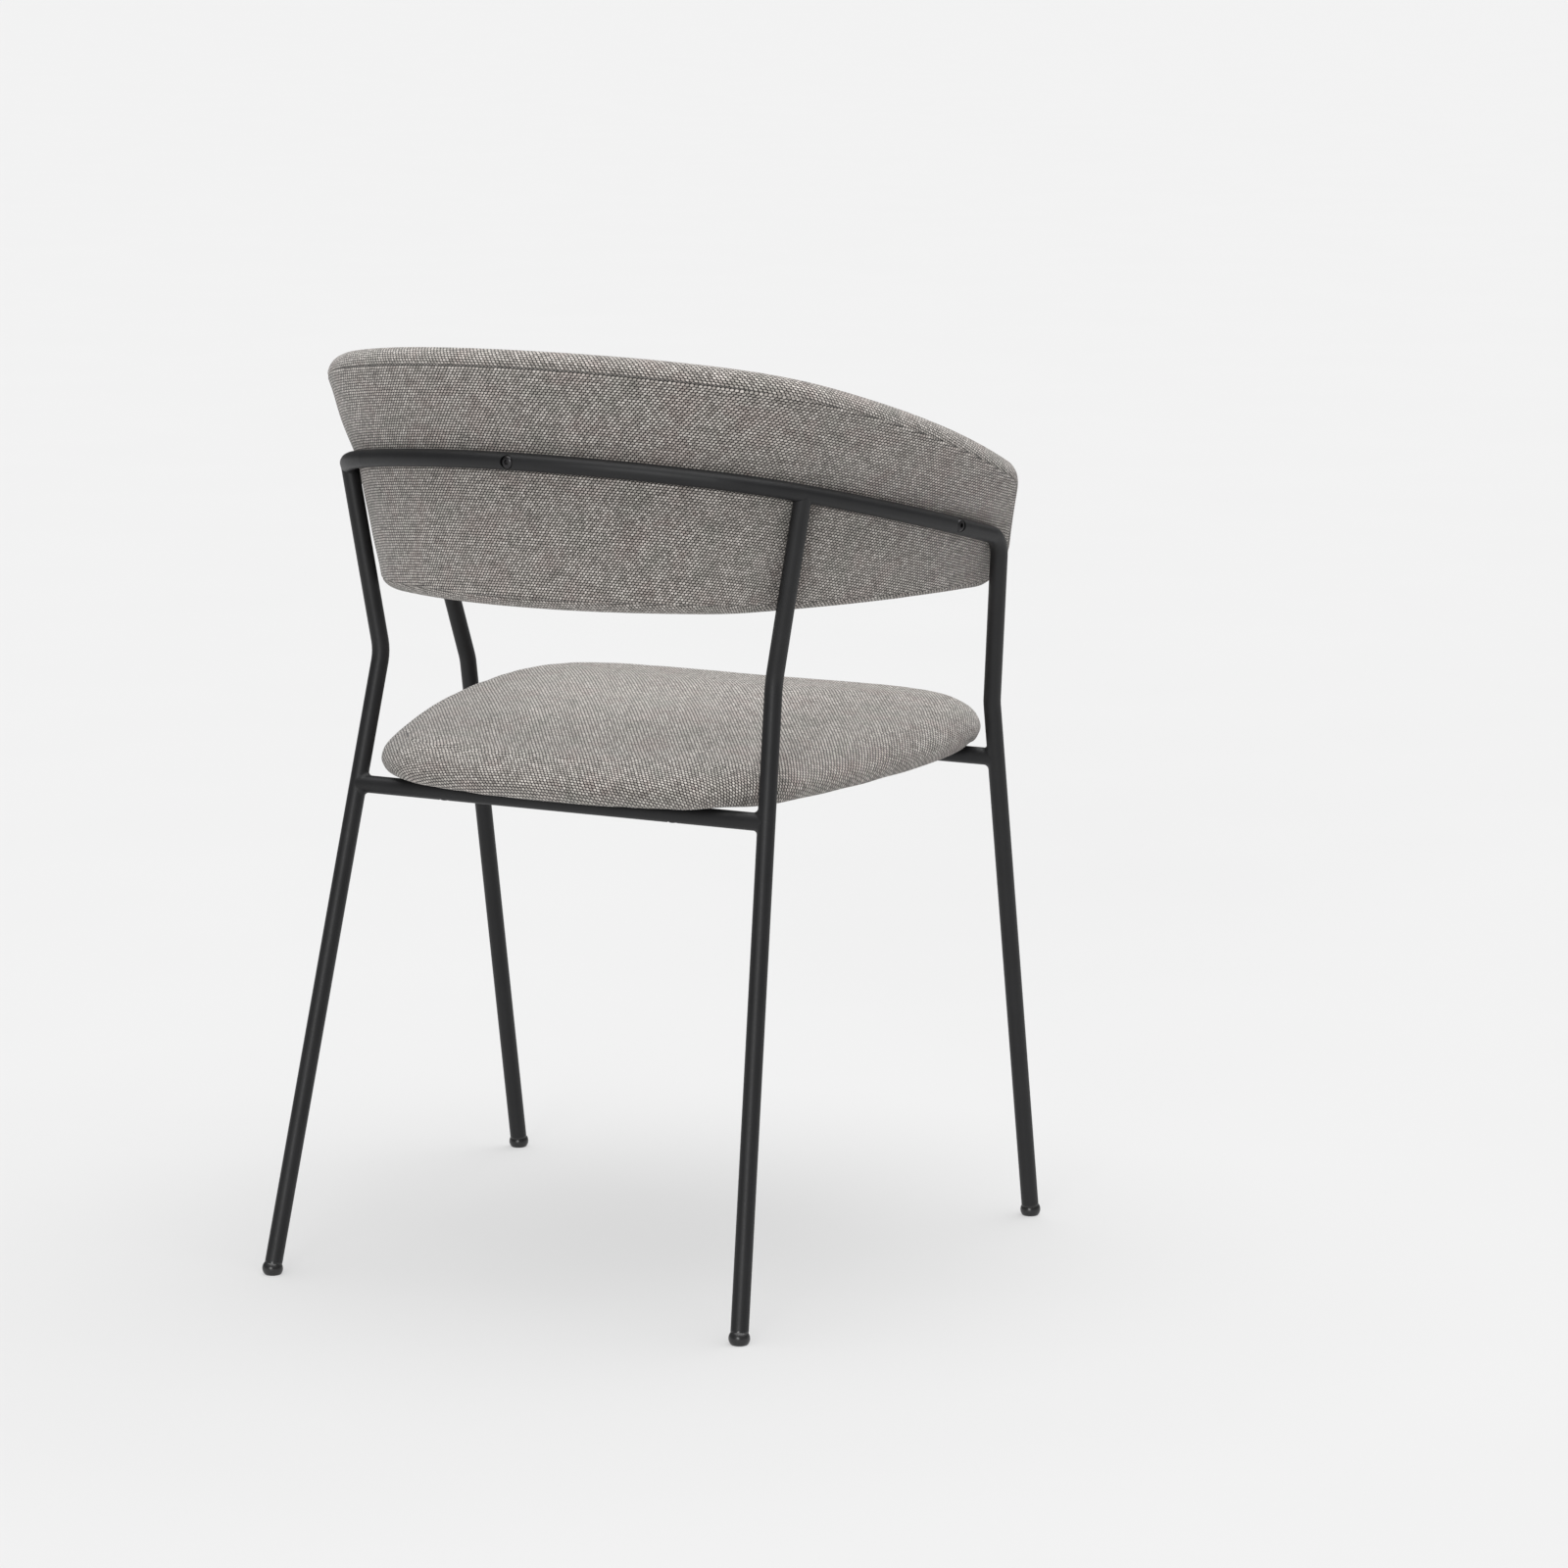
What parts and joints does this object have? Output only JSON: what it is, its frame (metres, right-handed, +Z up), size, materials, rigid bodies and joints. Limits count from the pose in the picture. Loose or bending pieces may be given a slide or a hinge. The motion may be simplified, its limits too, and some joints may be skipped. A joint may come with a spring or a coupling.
{
  "type": "dining chair",
  "caption": "Dining chair with an upholstered seat pad and a curved wrap-round upholstered back, carried on a bent tube that runs down into the front legs.",
  "frame": {"origin": "on the floor, under the centre of the chair's overall footprint", "axes": "+Z up, +Y towards the back of the chair (a sitter faces -Y), +X towards the sitter's left"},
  "size_m": [0.6104, 0.4974, 0.7973],
  "materials": {
    "frame_steel": "matte black powder coat",
    "upholstery": "coarse woven melange cloth, greige",
    "foam": "open-cell polyurethane foam",
    "plywood": "raw moulded plywood",
    "glide_plastic": "black plastic, slightly glossy",
    "pad_plastic": "black plastic, matte",
    "screw_steel": "black oxide steel",
    "zinc_steel": "zinc plated steel",
    "dust_cover": "black non-woven cloth"
  },
  "bodies": {
    "root": {"backrest_board": "plywood", "backrest_cover_inner": "upholstery", "backrest_cover_outer": "upholstery", "backrest_foam": "foam", "backrest_inserts": "zinc_steel", "backrest_screws": "screw_steel", "bow_tube": "frame_steel", "front_stretcher": "frame_steel", "glide_front_left": "glide_plastic", "glide_front_right": "glide_plastic", "glide_rear_left": "glide_plastic", "glide_rear_right": "glide_plastic", "rear_leg_left": "frame_steel", "rear_leg_right": "frame_steel", "rear_stretcher": "frame_steel", "seat_board": "plywood", "seat_cover": "upholstery", "seat_dust_cover": "dust_cover", "seat_foam": "foam", "seat_pads": "pad_plastic", "seat_screws": "screw_steel", "seat_tee_nuts": "zinc_steel"}
  },
  "joints": []
}
